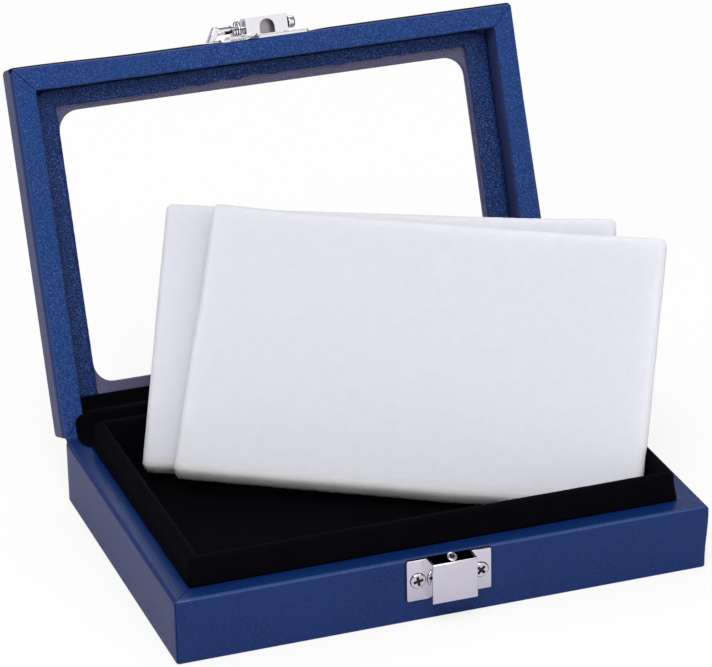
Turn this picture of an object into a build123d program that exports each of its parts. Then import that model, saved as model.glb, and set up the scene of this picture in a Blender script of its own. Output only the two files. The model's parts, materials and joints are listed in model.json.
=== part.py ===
from build123d import *
import math
import os

# Gemstone display box, shown open with two foam pads standing in its tray.
# Origin at the centre of the underside, +X right, +Y to the back, +Z up, in millimetres.

# Box and skins
box_width = 180.0
box_depth = 125.0
base_height = 22.25
lid_thickness = 14.8
parting_gap = 0.8
rail_width = 7.4
skin = 0.6
velvet = 0.25
underside_sheet = 0.5
underside_inset = 4.5
bottom_board = 2.4
corner_round = 1.4
edge_round = 0.9
lid_edge_round = 1.6
back_bevel = 3.5
lid_open = 110.84

# Velvet tray
tray_side_gap = 0.4
tray_wall = 3.8
tray_rise = 9.25
tray_top_round = 1.5
tray_corner_round = 2.5
tray_floor_top = 13.0
cushion_thickness = 2.6
cushion_round = 1.0
floor_gap = 0.05
soft_gap = 0.3

# Lid window
panel_board = 2.4
pane_thickness = 1.0
turned_edge = 0.4
turned_width = 4.6
lining_thickness = 0.5
lining_side = 8.4
lining_front = 5.9
lining_gap = 0.2
window_side = 16.2
window_hinge = 16.0
window_front = 15.2
window_round = 7.0
pane_gap = 0.3

# Velvet over the hinge
hinge_velvet_inset = 4.2
hinge_velvet_step = 0.4
hinge_velvet_ledge = 0.8
hinge_velvet_reach = 5.4
hinge_velvet_taper = 3.8

# Metal hinges
hinge_end_distance = 34.0
hinge_length = 22.0
leaf_depth = 6.2
leaf_thickness = 0.6
knuckle_radius = 1.1
knuckle_room = 1.4
knuckle_play = 0.15
knuckle_gap = 0.2
hinge_pin_radius = 0.45
hinge_pin_play = 0.05

# Clasp, lower half
clasp_offset = 0.6
keeper_plate_width = 28.6
keeper_plate_height = 14.1
keeper_plate_bottom = 7.65
plate_thickness = 0.8
plate_round = 1.0
keeper_width = 15.0
keeper_bottom = 8.4
keeper_top = 21.7
keeper_depth = 6.0
keeper_wall = 0.8
stud_radius = 1.6
stud_reach = 2.7
stud_top = 23.2
stud_dimple = 0.5
screw_spacing = 21.3
screw_head_radius = 2.5
screw_head_height = 0.6
screw_shank_radius = 1.1
screw_length = 5.5
cross_length = 2.8
cross_width = 0.7

# Clasp, upper half, with distances off the lid's front wall and along its height
latch_plate_left = 17.0
latch_plate_right = 15.0
latch_plate_height = 10.0
latch_plate_lift = 0.3
latch_plate_thickness = 1.0
hood_width = 15.0
hood_drop = 0.2
hood_reach = 6.7
hood_play = 0.3
hood_round = 2.5
arch_width = 5.3
arch_reach = 5.5
arch_depth = 3.2
latch_pin_reach = 4.2
latch_pin_lift = 5.0
latch_pin_radius = 0.6
lug_radius = 1.4
lug_thickness = 0.8
lug_play = 0.2
spring_length = 2.6
spring_radius = 2.3
spring_wire = 0.2
spring_turns = 2.5
barrel_radius = 1.55
barrel_length = 5.4
knob_radius = 2.1
knob_length = 2.7
tab_low_reach = 0.7
tab_high_reach = 5.7
tab_slant = 2.9
tab_thickness = 2.3
tab_height = 3.7
tab_rise = 0.9
tab_root = 0.2
tab_shoulder = 0.8
latch_screw_radius = 1.7
latch_screw_left = 13.0
latch_screw_right = 12.2
latch_screw_lift = 8.0
latch_cross_length = 2.0

# Foam pads: distances of the lowest back left corner from the tray's left and back walls and its floor,
# then the yaw, the lean and the turn in plane in degrees
pad_width = 152.6
pad_height = 93.2
pad_thickness = 9.0
pad_round = 1.0
front_pad_corner = (17.58, 23.96, 6.94)
front_pad_turns = (26.12, 42.89, -3.16)
back_pad_corner = (10.03, 10.58, 2.91)
back_pad_turns = (26.03, 42.95, -0.6)

# Places worked out from the sizes
half_width = box_width / 2
half_depth = box_depth / 2
half_gap = parting_gap / 2
hinge_height = base_height + half_gap
tray_half_width = half_width - rail_width - tray_side_gap
tray_half_depth = half_depth - rail_width - tray_side_gap
tray_inner_half_width = tray_half_width - tray_wall
tray_inner_half_depth = tray_half_depth - tray_wall
tray_top = base_height + tray_rise
board_bottom = underside_sheet + skin
board_top = board_bottom + bottom_board
cushion_bottom = tray_floor_top - cushion_thickness
panel_outer = lid_thickness - skin
panel_inner = panel_outer - panel_board
pane_outer = panel_inner - turned_edge
pane_inner = pane_outer - pane_thickness
lining_inner = pane_inner - lining_thickness

os.makedirs("parts", exist_ok=True)


def block(left, right, front, back, bottom, top):
    """A box given by its six faces."""
    size = Box(right - left, back - front, top - bottom)
    return Pos((left + right) / 2, (front + back) / 2, (bottom + top) / 2) * size


def rounded_ring(outer, inner, bottom, top, round_outer, round_inner):
    """An upright frame between two rounded rectangles, each given as half sizes."""
    ring = RectangleRounded(2 * outer[0], 2 * outer[1], round_outer)
    hole = Rectangle(2 * inner[0], 2 * inner[1])
    if round_inner:
        hole = RectangleRounded(2 * inner[0], 2 * inner[1], round_inner)
    return Pos(0, 0, bottom) * extrude(ring - hole, top - bottom)


def mitred_rails(outer, width, bottom, top):
    """Front, back, left and right rails of a frame, mitred at the corners."""
    x, y = outer
    ends = {
        "front": [(-x, -y), (x, -y), (x - width, width - y), (width - x, width - y)],
        "back": [(-x, y), (x, y), (x - width, y - width), (width - x, y - width)],
        "left": [(-x, -y), (-x, y), (width - x, y - width), (width - x, width - y)],
        "right": [(x, -y), (x, y), (x - width, y - width), (x - width, width - y)],
    }
    rails = {}
    for side, corners in ends.items():
        section = make_face(Polyline(*corners, close=True))
        rails[side] = Pos(0, 0, bottom) * extrude(section, top - bottom)
    return rails


def along_x(x, y, z, radius, length):
    """A round bar along X, from x on to the right."""
    return Pos(x + length / 2, y, z) * Rot(0, 90, 0) * Cylinder(radius, length)


def beyond_bevel(level, way, margin):
    """What lies past the bevel of a long back edge at a level; way is 1 for up and -1 for down."""
    leg = back_bevel + margin * math.sqrt(2)
    outline = Polyline((half_depth, level), (half_depth - leg, level), (half_depth, level + way * leg),
                       close=True)
    return Pos(-half_width, 0, 0) * extrude(make_face(Plane.YZ * outline), box_width)


def save(name, shape):
    export_step(shape, "parts/" + name + ".step")


# The lid is drawn shut, from the hinge line, and then turned open.
lid_place = Pos(0, half_depth, hinge_height) * Rot(-lid_open, 0, 0)


def lid_block(left, right, near, far, low, high):
    """A box on the lid, from distances off the hinge and heights over its rim."""
    return block(left, right, -far, -near, half_gap + low, half_gap + high)


def lid_centred(shape):
    """Shifts what is drawn about the lid's middle to the hinge line."""
    return Pos(0, -half_depth, half_gap) * shape


def save_on_lid(name, shape):
    save(name, lid_place * shape)


# Base: rails, board, leatherette skin and paper underside
core_half = (half_width - skin, half_depth - skin)
rail_core = rail_width - 2 * skin
base_rails = mitred_rails(core_half, rail_core, board_top, base_height - skin)
base_board = block(-core_half[0], core_half[0], -core_half[1], core_half[1], board_bottom, board_top)

base_shell = rounded_ring((half_width, half_depth), (half_width - rail_width, half_depth - rail_width),
                          underside_sheet, base_height, corner_round, 0)
base_shell = fillet(base_shell.faces().sort_by(Axis.Z)[-1].outer_wire().edges(), edge_round)
base_core_bevel = beyond_bevel(underside_sheet, 1, skin)
base_board = base_board - base_core_bevel
base_cover = base_shell - beyond_bevel(underside_sheet, 1, 0) - base_board
for side in ("back", "left", "right"):
    base_rails[side] = base_rails[side] - base_core_bevel
for rail in base_rails.values():
    base_cover = base_cover - rail

sheet_half = (half_width - underside_inset, half_depth - underside_inset)
base_sheet = block(-sheet_half[0], sheet_half[0], -sheet_half[1], sheet_half[1], 0, underside_sheet)

# Metal hinges: leaves let into the two back rails, three knuckles and a pin
knuckle_length = (hinge_length - 2 * knuckle_play) / 3
hinge_centres = {"left": hinge_end_distance - half_width, "right": half_width - hinge_end_distance}


def knuckle_start(centre, number):
    """Left end of one knuckle, counted from the left."""
    return centre - hinge_length / 2 + number * (knuckle_length + knuckle_play)


def hinge_leaf(centre, numbers, side):
    """One leaf in the shut lid's frame: side is -1 for the base and 1 for the lid."""
    flat = side * half_gap
    inner = min(flat, flat + side * leaf_thickness)
    outer = max(flat, flat + side * leaf_thickness)
    clear = knuckle_radius + knuckle_gap
    left = centre - hinge_length / 2
    leaf = block(left, left + hinge_length, -leaf_depth, -clear, inner, outer)
    for number in numbers:
        start = knuckle_start(centre, number)
        leaf = leaf + along_x(start, 0, 0, knuckle_radius, knuckle_length)
        leaf = leaf + block(start, start + knuckle_length, -clear, 0, inner, outer)
    return leaf - along_x(left, 0, 0, hinge_pin_radius + hinge_pin_play, hinge_length)


hinge_place = Pos(0, half_depth, hinge_height)
rooms = []
for side, centre in hinge_centres.items():
    left = centre - hinge_length / 2
    room = along_x(left, 0, 0, knuckle_room, hinge_length)
    base_leaf_room = block(left, left + hinge_length, -leaf_depth, 0, -half_gap - leaf_thickness, -half_gap)
    lid_leaf_room = block(left, left + hinge_length, -leaf_depth, 0, half_gap, half_gap + leaf_thickness)
    rooms.append((room + base_leaf_room, room + lid_leaf_room))
    save(side + "_hinge_base_leaf", hinge_place * hinge_leaf(centre, (0, 2), -1))
    save_on_lid(side + "_hinge_lid_leaf", hinge_leaf(centre, (1,), 1))
    save(side + "_hinge_pin", hinge_place * along_x(left, 0, 0, hinge_pin_radius, hinge_length))

for base_room, lid_room in rooms:
    base_rails["back"] = base_rails["back"] - hinge_place * base_room
    base_cover = base_cover - hinge_place * base_room

# Velvet tray: four walls in one velvet skin, a padded floor over foam
tray_outer = (tray_half_width, tray_half_depth)
tray_inner = (tray_inner_half_width, tray_inner_half_depth)
tray_core_outer = (tray_half_width - skin, tray_half_depth - skin)
tray_walls = mitred_rails(tray_core_outer, tray_wall - 2 * skin, board_top, tray_top - skin)
tray_core = RectangleRounded(2 * tray_core_outer[0], 2 * tray_core_outer[1], tray_corner_round - skin)
tray_core = extrude(tray_core, tray_top)
tray_velvet = rounded_ring(tray_outer, tray_inner, board_top, tray_top, tray_corner_round, 0)
tray_velvet = fillet(tray_velvet.faces().sort_by(Axis.Z)[-1].edges(), tray_top_round)
for side in tray_walls:
    tray_walls[side] = tray_walls[side] & tray_core
    tray_velvet = tray_velvet - tray_walls[side]

floor_x = tray_inner_half_width - floor_gap
floor_y = tray_inner_half_depth - floor_gap
cushion = block(-floor_x, floor_x, -floor_y, floor_y, cushion_bottom, tray_floor_top)
cushion = fillet(cushion.faces().sort_by(Axis.Z)[-1].edges(), cushion_round)
filler = block(-floor_x, floor_x, -floor_y, floor_y, board_top, cushion_bottom)

# Lid: rails, window board, leatherette skin, pane and lining
lid_rails = mitred_rails(core_half, rail_core, skin, panel_inner)
window_left = window_side - half_width
window_right = half_width - window_side
window_back = half_depth - window_hinge
window_low = window_front - half_depth
window_middle = (window_back + window_low) / 2
window_size = (window_right - window_left, window_back - window_low)


def window_prism(grow, low, high):
    """The window's rounded shape, grown by grow on every side."""
    outline = RectangleRounded(window_size[0] + 2 * grow, window_size[1] + 2 * grow, window_round + grow)
    return Pos(0, window_middle, low) * extrude(outline, high - low)


panel = block(-core_half[0], core_half[0], -core_half[1], core_half[1], panel_inner, panel_outer)
panel = panel - window_prism(skin, panel_inner, panel_outer)
lid_core_bevel = beyond_bevel(lid_thickness, -1, skin)
panel = panel - lid_core_bevel
for side in ("back", "left", "right"):
    lid_rails[side] = lid_rails[side] - lid_core_bevel

recess_half = (half_width - rail_width, half_depth - rail_width)
recess = block(-recess_half[0], recess_half[0], -recess_half[1], recess_half[1], 0, panel_inner)
lid_cover = extrude(RectangleRounded(box_width, box_depth, corner_round), lid_thickness)
lid_cover = fillet(lid_cover.faces().sort_by(Axis.Z)[-1].edges(), lid_edge_round)
lid_cover = lid_cover - recess - beyond_bevel(lid_thickness, -1, 0)
turned = window_prism(turned_width, pane_outer, panel_inner)
lid_cover = lid_cover + turned
lid_cover = lid_cover - window_prism(0, pane_outer, lid_thickness)
for rail in lid_rails.values():
    lid_cover = lid_cover - rail
lid_cover = lid_cover - panel

pane_half = (recess_half[0] - pane_gap, recess_half[1] - pane_gap)
pane = block(-pane_half[0], pane_half[0], -pane_half[1], pane_half[1], pane_inner, pane_outer)

lining_back = half_depth - rail_width - hinge_velvet_reach - lining_gap
lining = block(-pane_half[0], pane_half[0], -pane_half[1], lining_back, lining_inner, pane_inner)
lining_hole_x = recess_half[0] - lining_side
lining_hole = RectangleRounded(2 * lining_hole_x, box_depth, window_round)
lining_hole_front = lining_front - recess_half[1]
lining_hole = Pos(0, lining_hole_front + half_depth, lining_inner) * extrude(lining_hole, lining_thickness)
lining = lining - lining_hole

lid_rails["back"] = lid_centred(lid_rails["back"])
lid_cover = lid_centred(lid_cover)
for base_room, lid_room in rooms:
    lid_rails["back"] = lid_rails["back"] - lid_room
    lid_cover = lid_cover - lid_room
for side in ("front", "left", "right"):
    lid_rails[side] = lid_centred(lid_rails[side])

# Velvet over the hinge: one strip on the base's back edge, one down the lid's ledge
velvet_end = half_width - hinge_velvet_inset
strip_back = half_depth - skin
taper_start = tray_half_depth + hinge_velvet_taper
strip_front_end = velvet_end - hinge_velvet_taper
base_strip = Polyline((-velvet_end, strip_back), (velvet_end, strip_back), (velvet_end, taper_start),
                      (strip_front_end, tray_half_depth), (-strip_front_end, tray_half_depth),
                      (-velvet_end, taper_start), close=True)
base_strip = Pos(0, 0, base_height) * extrude(make_face(base_strip), velvet)
velvet_ledge_end = pane_half[0]
lid_strip = lid_block(-velvet_end, velvet_end, skin, rail_width, -velvet, 0)
lid_strip = lid_strip + lid_block(-velvet_ledge_end, velvet_ledge_end, rail_width,
                                  rail_width + hinge_velvet_step, -velvet, pane_inner)
lid_strip = lid_strip + lid_block(-velvet_ledge_end, velvet_ledge_end, rail_width,
                                  rail_width + hinge_velvet_reach, pane_inner - hinge_velvet_ledge, pane_inner)
for side, centre in hinge_centres.items():
    left = centre - hinge_length / 2
    room = along_x(left, 0, 0, knuckle_room, hinge_length)
    base_strip = base_strip - hinge_place * room
    lid_strip = lid_strip - room

# Clasp, lower half: plate, open box, stud and two cross-head screws
front_face = -half_depth
plate_face = front_face - plate_thickness
keeper_front = plate_face - keeper_depth
keeper_left = clasp_offset - keeper_width / 2
keeper_right = clasp_offset + keeper_width / 2
plate_middle = keeper_plate_bottom + keeper_plate_height / 2
plate_outline = RectangleRounded(keeper_plate_width, keeper_plate_height, plate_round)
keeper_plate = extrude(plate_outline, plate_thickness)
keeper_plate = Pos(clasp_offset, front_face, plate_middle) * Rot(90, 0, 0) * keeper_plate

keeper_box = block(keeper_left, keeper_right, keeper_front, plate_face, keeper_bottom, keeper_top)
keeper_edges = keeper_box.faces().sort_by(Axis.Y)[0].edges()
keeper_box = fillet(keeper_edges, keeper_wall / 2)
keeper_room = block(keeper_left + keeper_wall, keeper_right - keeper_wall, keeper_front + keeper_wall,
                    plate_face, keeper_bottom + keeper_wall, keeper_top)
keeper_box = keeper_box - keeper_room

stud_height = stud_top - keeper_bottom - keeper_wall
stud_place = Pos(clasp_offset, plate_face - stud_reach, stud_top - stud_height / 2)
stud = stud_place * Cylinder(stud_radius, stud_height)
stud = fillet(stud.edges().sort_by(Axis.Z)[-1], stud_dimple / 2)
stud = stud - Pos(clasp_offset, plate_face - stud_reach, stud_top) * Sphere(stud_dimple)


def cross_screw(head_radius, head_height, shank_radius, length):
    """A screw along Z with its head's seat at zero and its shank below."""
    head = Cylinder(head_radius, head_height, align=(Align.CENTER, Align.CENTER, Align.MIN))
    head = fillet(head.edges().sort_by(Axis.Z)[-1], head_height / 2)
    shank = Cylinder(shank_radius, length, align=(Align.CENTER, Align.CENTER, Align.MAX))
    tip = shank.edges().sort_by(Axis.Z)[0]
    shank = chamfer(tip, shank_radius / 2)
    slot = Box(cross_length, cross_width, head_height)
    slot = slot + Box(cross_width, cross_length, head_height)
    return head + shank - Pos(0, 0, head_height) * slot


keeper_screw = cross_screw(screw_head_radius, screw_head_height, screw_shank_radius, screw_length)
screw_places = []
for side in (-1, 1):
    screw_x = clasp_offset + side * screw_spacing / 2
    screw_places.append(Pos(screw_x, plate_face, plate_middle) * Rot(90, 0, 0))
keeper_screws = Compound([place * keeper_screw for place in screw_places])
screw_bore = Cylinder(screw_shank_radius, 2 * screw_length)
for place in screw_places:
    keeper_plate = keeper_plate - place * screw_bore
    base_cover = base_cover - place * screw_bore
    base_rails["front"] = base_rails["front"] - place * keeper_screw

# Clasp, upper half, drawn on the shut lid's front wall
lid_front = -box_depth
pin_y = lid_front - latch_pin_reach
pin_z = half_gap + latch_pin_lift
hood_left = clasp_offset - hood_width / 2
hood_right = clasp_offset + hood_width / 2
latch_back = lid_front - latch_plate_thickness
left_lug = hood_left - lug_play - spring_length - lug_play - lug_thickness - lug_play
right_lug = hood_right + lug_play


def lug(left):
    """A round-ended ear that carries the pin."""
    foot = block(left, left + lug_thickness, pin_y, latch_back, pin_z - lug_radius, pin_z + lug_radius)
    return foot + along_x(left, pin_y, pin_z, lug_radius, lug_thickness)


latch_plate = block(clasp_offset - latch_plate_left, clasp_offset + latch_plate_right, latch_back, lid_front,
                    half_gap + latch_plate_lift, half_gap + latch_plate_lift + latch_plate_height)
latch_corners = latch_plate.edges().filter_by(Axis.Y)
latch_plate = fillet(latch_corners, plate_round)
latch_plate = latch_plate + lug(left_lug) + lug(right_lug)
lug_span = right_lug + lug_thickness - left_lug
latch_plate = latch_plate - along_x(left_lug, pin_y, pin_z, latch_pin_radius + hinge_pin_play, lug_span)

latch_screw = Cone(screw_shank_radius, latch_screw_radius, latch_plate_thickness,
                   align=(Align.CENTER, Align.CENTER, Align.MAX))
latch_shank = Cylinder(screw_shank_radius, screw_length - latch_plate_thickness,
                       align=(Align.CENTER, Align.CENTER, Align.MAX))
latch_screw = latch_screw + Pos(0, 0, -latch_plate_thickness) * latch_shank
latch_cross = Box(latch_cross_length, cross_width, screw_head_height)
latch_cross = latch_cross + Box(cross_width, latch_cross_length, screw_head_height)
latch_screws = []
for x in (clasp_offset - latch_screw_left, clasp_offset + latch_screw_right):
    place = Pos(x, latch_back, half_gap + latch_screw_lift) * Rot(90, 0, 0)
    screw = place * latch_screw
    latch_plate = latch_plate - screw
    lid_cover = lid_cover - screw
    lid_rails["front"] = lid_rails["front"] - screw
    latch_screws.append(screw - place * latch_cross)

hood_near = lid_front - latch_plate_thickness - hood_play
hood_far = lid_front - hood_reach
hood_low = half_gap - hood_drop
hood_outline = Polyline((hood_far, pin_z), (hood_far, hood_low), (hood_near, hood_low),
                        (hood_near, pin_z - hood_play), (pin_y + hood_round, pin_z))
hood_top = ThreePointArc((pin_y + hood_round, pin_z), (pin_y, pin_z + hood_round), (hood_far, pin_z))
hood_face = make_face(Plane.YZ * (hood_outline + hood_top))
hood = Pos(hood_left, 0, 0) * extrude(hood_face, hood_width)
arch_straight = arch_reach - arch_width / 2
arch = block(clasp_offset - arch_width / 2, clasp_offset + arch_width / 2, lid_front - arch_straight, lid_front,
             hood_low, hood_low + arch_depth)
arch_round = Cylinder(arch_width / 2, arch_depth)
arch = arch + Pos(clasp_offset, lid_front - arch_straight, hood_low + arch_depth / 2) * arch_round
hood = hood - arch
pin_left = left_lug - lug_play - barrel_length
pin_right = right_lug + lug_thickness + lug_play + knob_length
latch_pin = along_x(pin_left, pin_y, pin_z, latch_pin_radius, pin_right - pin_left)
hood = hood - latch_pin

barrel = along_x(pin_left, pin_y, pin_z, barrel_radius, barrel_length)
barrel = chamfer(barrel.edges().filter_by(GeomType.CIRCLE), barrel_radius / 5)
tab_high = lid_front - tab_high_reach
tab_low = lid_front - tab_low_reach
tab_right = pin_left + tab_root
tab_middle = pin_left - tab_shoulder
tab_left = tab_middle - tab_slant
tab_outline = Polyline((tab_right, tab_high), (tab_middle, tab_high), (tab_left, tab_low),
                       (tab_left + tab_thickness, tab_low), (tab_right, tab_low - tab_thickness), close=True)
tab_bottom = pin_z + tab_rise - tab_height
tab = Pos(0, 0, tab_bottom) * extrude(make_face(tab_outline), tab_height)
lever = barrel + tab - latch_pin

knob_left = right_lug + lug_thickness + lug_play
knob = along_x(knob_left, pin_y, pin_z, knob_radius, knob_length)
knob = fillet(knob.edges().filter_by(GeomType.CIRCLE), knob_radius / 4)
knob = knob - latch_pin

# Torsion spring: one unbroken helix round the pin
spring_left = left_lug + lug_thickness + lug_play
coil_height = spring_length - 2 * spring_wire
coil_pitch = coil_height / spring_turns
coil_path = Helix(coil_pitch, coil_height, spring_radius)
coil_start = coil_path @ 0
coil_section = Plane(origin=coil_start, z_dir=coil_path % 0) * Circle(spring_wire)
coil = sweep(coil_section, path=coil_path)
spring = Pos(spring_left + spring_wire, pin_y, pin_z) * Rot(0, 90, 0) * coil

turn_steps = 48
coil_points = []
for step in range(int(spring_turns * turn_steps) + 1):
    angle = 2 * math.pi * step / turn_steps
    rise = coil_pitch * step / turn_steps
    coil_points.append(Vector(spring_radius * math.cos(angle), spring_radius * math.sin(angle), rise))
least_gap = coil_height
for number, point in enumerate(coil_points):
    for other in coil_points[number + turn_steps // 2:]:
        least_gap = min(least_gap, (point - other).length - 2 * spring_wire)
print("spring: least gap between turns", round(least_gap, 3), "mm")
print("spring: volume", round(coil.volume, 3), "against", round(
    math.pi * spring_wire ** 2 * coil_path.length, 3), "mm3")


# Foam pads, cut back where they press on the tray's rim and walls
def pad(corner, turns):
    """A pad from its lowest back left corner and its three turns, clear of the tray's walls."""
    yaw, lean, twist = (math.radians(turn) for turn in turns)
    along = Vector(math.cos(yaw), -math.sin(yaw), 0)
    up = Vector(math.sin(lean) * math.sin(yaw), math.sin(lean) * math.cos(yaw), math.cos(lean))
    facing = along.cross(up)
    edge = along * math.cos(twist) + up * math.sin(twist)
    body = Box(pad_width, pad_height, pad_thickness, align=(Align.MIN, Align.MIN, Align.MIN))
    body = fillet(body.edges(), pad_round)
    start_x = corner[0] - tray_inner_half_width
    start_y = tray_inner_half_depth - corner[1]
    start = Vector(start_x, start_y, tray_floor_top + corner[2])
    body = Plane(origin=start, x_dir=edge, z_dir=facing) * body
    room_x = tray_inner_half_width - soft_gap
    room_y = tray_inner_half_depth - soft_gap
    walls = block(-box_width, box_width, -box_depth, box_depth, 0, tray_top + soft_gap)
    room = block(-room_x, room_x, -room_y, room_y, 0, tray_top + soft_gap)
    return body - (walls - room)


front_pad = pad(front_pad_corner, front_pad_turns)
back_pad = pad(back_pad_corner, back_pad_turns)

# Nodes on the base
save("base_bottom_board", base_board)
for side, rail in base_rails.items():
    save("base_" + side + "_rail", rail)
save("base_cover", base_cover)
save("base_underside_sheet", base_sheet)
for side, wall in tray_walls.items():
    save("tray_" + side + "_wall", wall)
save("tray_velvet", tray_velvet)
save("tray_floor_cushion", cushion)
save("tray_foam_filler", filler)
save("hinge_velvet_base", base_strip)
save("lower_clasp_plate", keeper_plate)
save("lower_clasp_box", keeper_box)
save("lower_clasp_stud", stud)
save("lower_clasp_screws", keeper_screws)

# Nodes on the lid
for side, rail in lid_rails.items():
    save_on_lid("lid_" + side + "_rail", rail)
save_on_lid("lid_panel_board", lid_centred(panel))
save_on_lid("lid_cover", lid_cover)
save_on_lid("lid_lining", lid_centred(lining))
save_on_lid("window_pane", lid_centred(pane))
save_on_lid("hinge_velvet_lid", lid_strip)
save_on_lid("upper_clasp_plate", latch_plate)
save_on_lid("upper_clasp_screws", Compound(latch_screws))
save_on_lid("clasp_spring", spring)

# Nodes that turn on the clasp's pin
save_on_lid("clasp_hood", hood)
save_on_lid("clasp_pin", latch_pin)
save_on_lid("clasp_thumb_lever", lever)
save_on_lid("clasp_pin_knob", knob)

# Pads
save("front_foam_pad", front_pad)
save("back_foam_pad", back_pad)
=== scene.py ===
import json
from math import acos, asin, copysign, cos, hypot, pi, radians, sin
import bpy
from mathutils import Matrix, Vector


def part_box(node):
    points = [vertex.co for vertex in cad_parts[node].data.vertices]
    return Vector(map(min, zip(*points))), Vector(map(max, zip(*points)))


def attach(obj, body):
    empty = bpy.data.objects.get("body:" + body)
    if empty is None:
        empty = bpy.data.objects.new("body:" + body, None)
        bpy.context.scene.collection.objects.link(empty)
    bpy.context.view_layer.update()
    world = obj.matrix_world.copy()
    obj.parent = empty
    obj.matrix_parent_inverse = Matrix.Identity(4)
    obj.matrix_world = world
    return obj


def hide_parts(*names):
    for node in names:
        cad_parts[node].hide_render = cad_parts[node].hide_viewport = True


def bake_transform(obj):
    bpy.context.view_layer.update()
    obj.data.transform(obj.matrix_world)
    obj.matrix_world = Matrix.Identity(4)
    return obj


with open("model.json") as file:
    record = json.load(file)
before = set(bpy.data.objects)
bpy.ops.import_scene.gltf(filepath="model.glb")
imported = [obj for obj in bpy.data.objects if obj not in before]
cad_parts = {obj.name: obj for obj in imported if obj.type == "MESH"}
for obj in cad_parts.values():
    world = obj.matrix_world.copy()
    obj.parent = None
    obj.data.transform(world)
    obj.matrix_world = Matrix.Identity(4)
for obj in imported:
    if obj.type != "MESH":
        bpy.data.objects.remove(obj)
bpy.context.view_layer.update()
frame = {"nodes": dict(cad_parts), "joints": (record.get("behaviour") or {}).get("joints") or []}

from types import SimpleNamespace
import bpy
import bmesh
from mathutils import Matrix, Vector, noise

mm = 0.001
joints = {joint["name"]: joint for joint in frame["joints"]}
hingePoint = Vector(joints["lid_hinge"]["pos_m"])
lidTurn = radians(joints["lid_hinge"]["range_deg"][1])

# The lid's pieces are drawn shut, with the hinge line as their origin, and then turned open
lidPlace = Matrix.Translation(hingePoint) @ Matrix.Rotation(-lidTurn, 4, "X")

baseLow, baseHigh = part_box("base_cover")
halfWidth = baseHigh.x
halfDepth = baseHigh.y
rimTop = baseHigh.z
halfGap = hingePoint.z - rimTop


# A piece's sizes, given in millimetres and kept in metres
def inMillimetres(**sizes):
    return {name: tuple(one * mm for one in size) if isinstance(size, tuple) else size * mm
            for name, size in sizes.items()}


def addObject(name, data):
    made = bpy.data.objects.new(name, data)
    bpy.context.scene.collection.objects.link(made)
    return made


# Camera, at the photograph's place
cameraPlace = dict(spot=(-0.37936, -1.07651, 0.57928), yaw=0.332954, pitch=0.417751, roll=-0.0214203,
                   lens=194.25, sensor=36.0, farthest=20)


def makeCamera():
    c = cameraPlace
    yaw, pitch, roll = c["yaw"], c["pitch"], c["roll"]
    ahead = Vector((sin(yaw) * cos(pitch), cos(yaw) * cos(pitch), -sin(pitch)))
    level = Vector((cos(yaw), -sin(yaw), 0))
    upright = level.cross(ahead)
    right = cos(roll) * level + sin(roll) * upright
    up = -sin(roll) * level + cos(roll) * upright
    data = bpy.data.cameras.new("camera")
    data.lens, data.sensor_width, data.clip_end = c["lens"], c["sensor"], c["farthest"]
    camera = addObject("camera", data)
    camera.matrix_world = Matrix.Translation(c["spot"]) @ Matrix((right, up, -ahead)).transposed().to_4x4()
    bpy.context.scene.camera = camera


makeCamera()
print("camera set")


# Small helpers for meshes

def addBox(bm, low, high):
    made = bmesh.ops.create_cube(bm, size=1)["verts"]
    bmesh.ops.scale(bm, vec=[h - l for l, h in zip(low, high)], verts=made)
    bmesh.ops.translate(bm, vec=[(h + l) / 2 for l, h in zip(low, high)], verts=made)


def onlyVerts(geometry):
    return [g for g in geometry if isinstance(g, bmesh.types.BMVert)]


# Points of a rounded rectangle, with a narrow groove on the diagonal of each corner
def cornerRing(left, right, front, back, radius, height, groove=(0, 0), cuts=(26, 18), seam=0.13 * mm):
    r = max(radius, 1.6 * seam)
    lean = asin(seam / r)
    half = pi / 4
    turns = [step * (half - lean) / 3 for step in range(4)]
    turns = turns + [half] + [2 * half - turn for turn in reversed(turns)]
    corners = []
    for number, (x, y) in enumerate(((right, back), (left, back), (left, front), (right, front))):
        sx, sy = (1 if x == right else -1), (1 if y == back else -1)
        ring = []
        for turn in turns:
            angle = number * 2 * half + turn
            ring.append(Vector((x - sx * r + r * cos(angle), y - sy * r + r * sin(angle), height)))
        ring[4] += Vector((-sx * groove[0], -sy * groove[0], groove[1]))
        corners.append(ring)
    points = []
    for number, ring in enumerate(corners):
        points += ring
        after = corners[(number + 1) % 4][0]
        count = cuts[number % 2]
        points += [ring[-1].lerp(after, (step + 1) / (count + 1)) for step in range(count)]
    return points


# Skins over a row of rings with as many points each
def loft(bm, rings):
    line = bmesh.ops.create_circle(bm, cap_ends=False, segments=len(rings[0]), radius=1)["verts"]
    start = line
    for number, ring in enumerate(rings):
        if number:
            edges = [bm.edges.get((line[k - 1], line[k])) for k in range(len(line))]
            made = set(onlyVerts(bmesh.ops.extrude_edge_only(bm, edges=edges)["geom"]))
            line = [next(e.other_vert(v) for e in v.link_edges if e.other_vert(v) in made) for v in line]
        for vert, place in zip(line, ring):
            vert.co = place
    return start, line


def closeLoop(bm, line):
    bmesh.ops.contextual_create(bm, geom=line + [bm.edges.get((line[k - 1], line[k])) for k in range(len(line))])


def closedLoft(rings):
    bm = bmesh.new()
    for line in loft(bm, rings):
        closeLoop(bm, line)
    bmesh.ops.recalc_face_normals(bm, faces=bm.faces)
    return bm


def newGrid(columns, rows):
    bm = bmesh.new()
    bmesh.ops.create_grid(bm, x_segments=columns, y_segments=rows, size=0.5)
    return bm


# A quarter round as (out, down) pairs, from lying flat to standing upright
def quarter(radius, steps=4):
    angles = [pi / 2 * step / steps for step in range(steps + 1)]
    return [(radius * (1 - sin(a)), radius * (1 - cos(a))) for a in angles]


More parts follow.
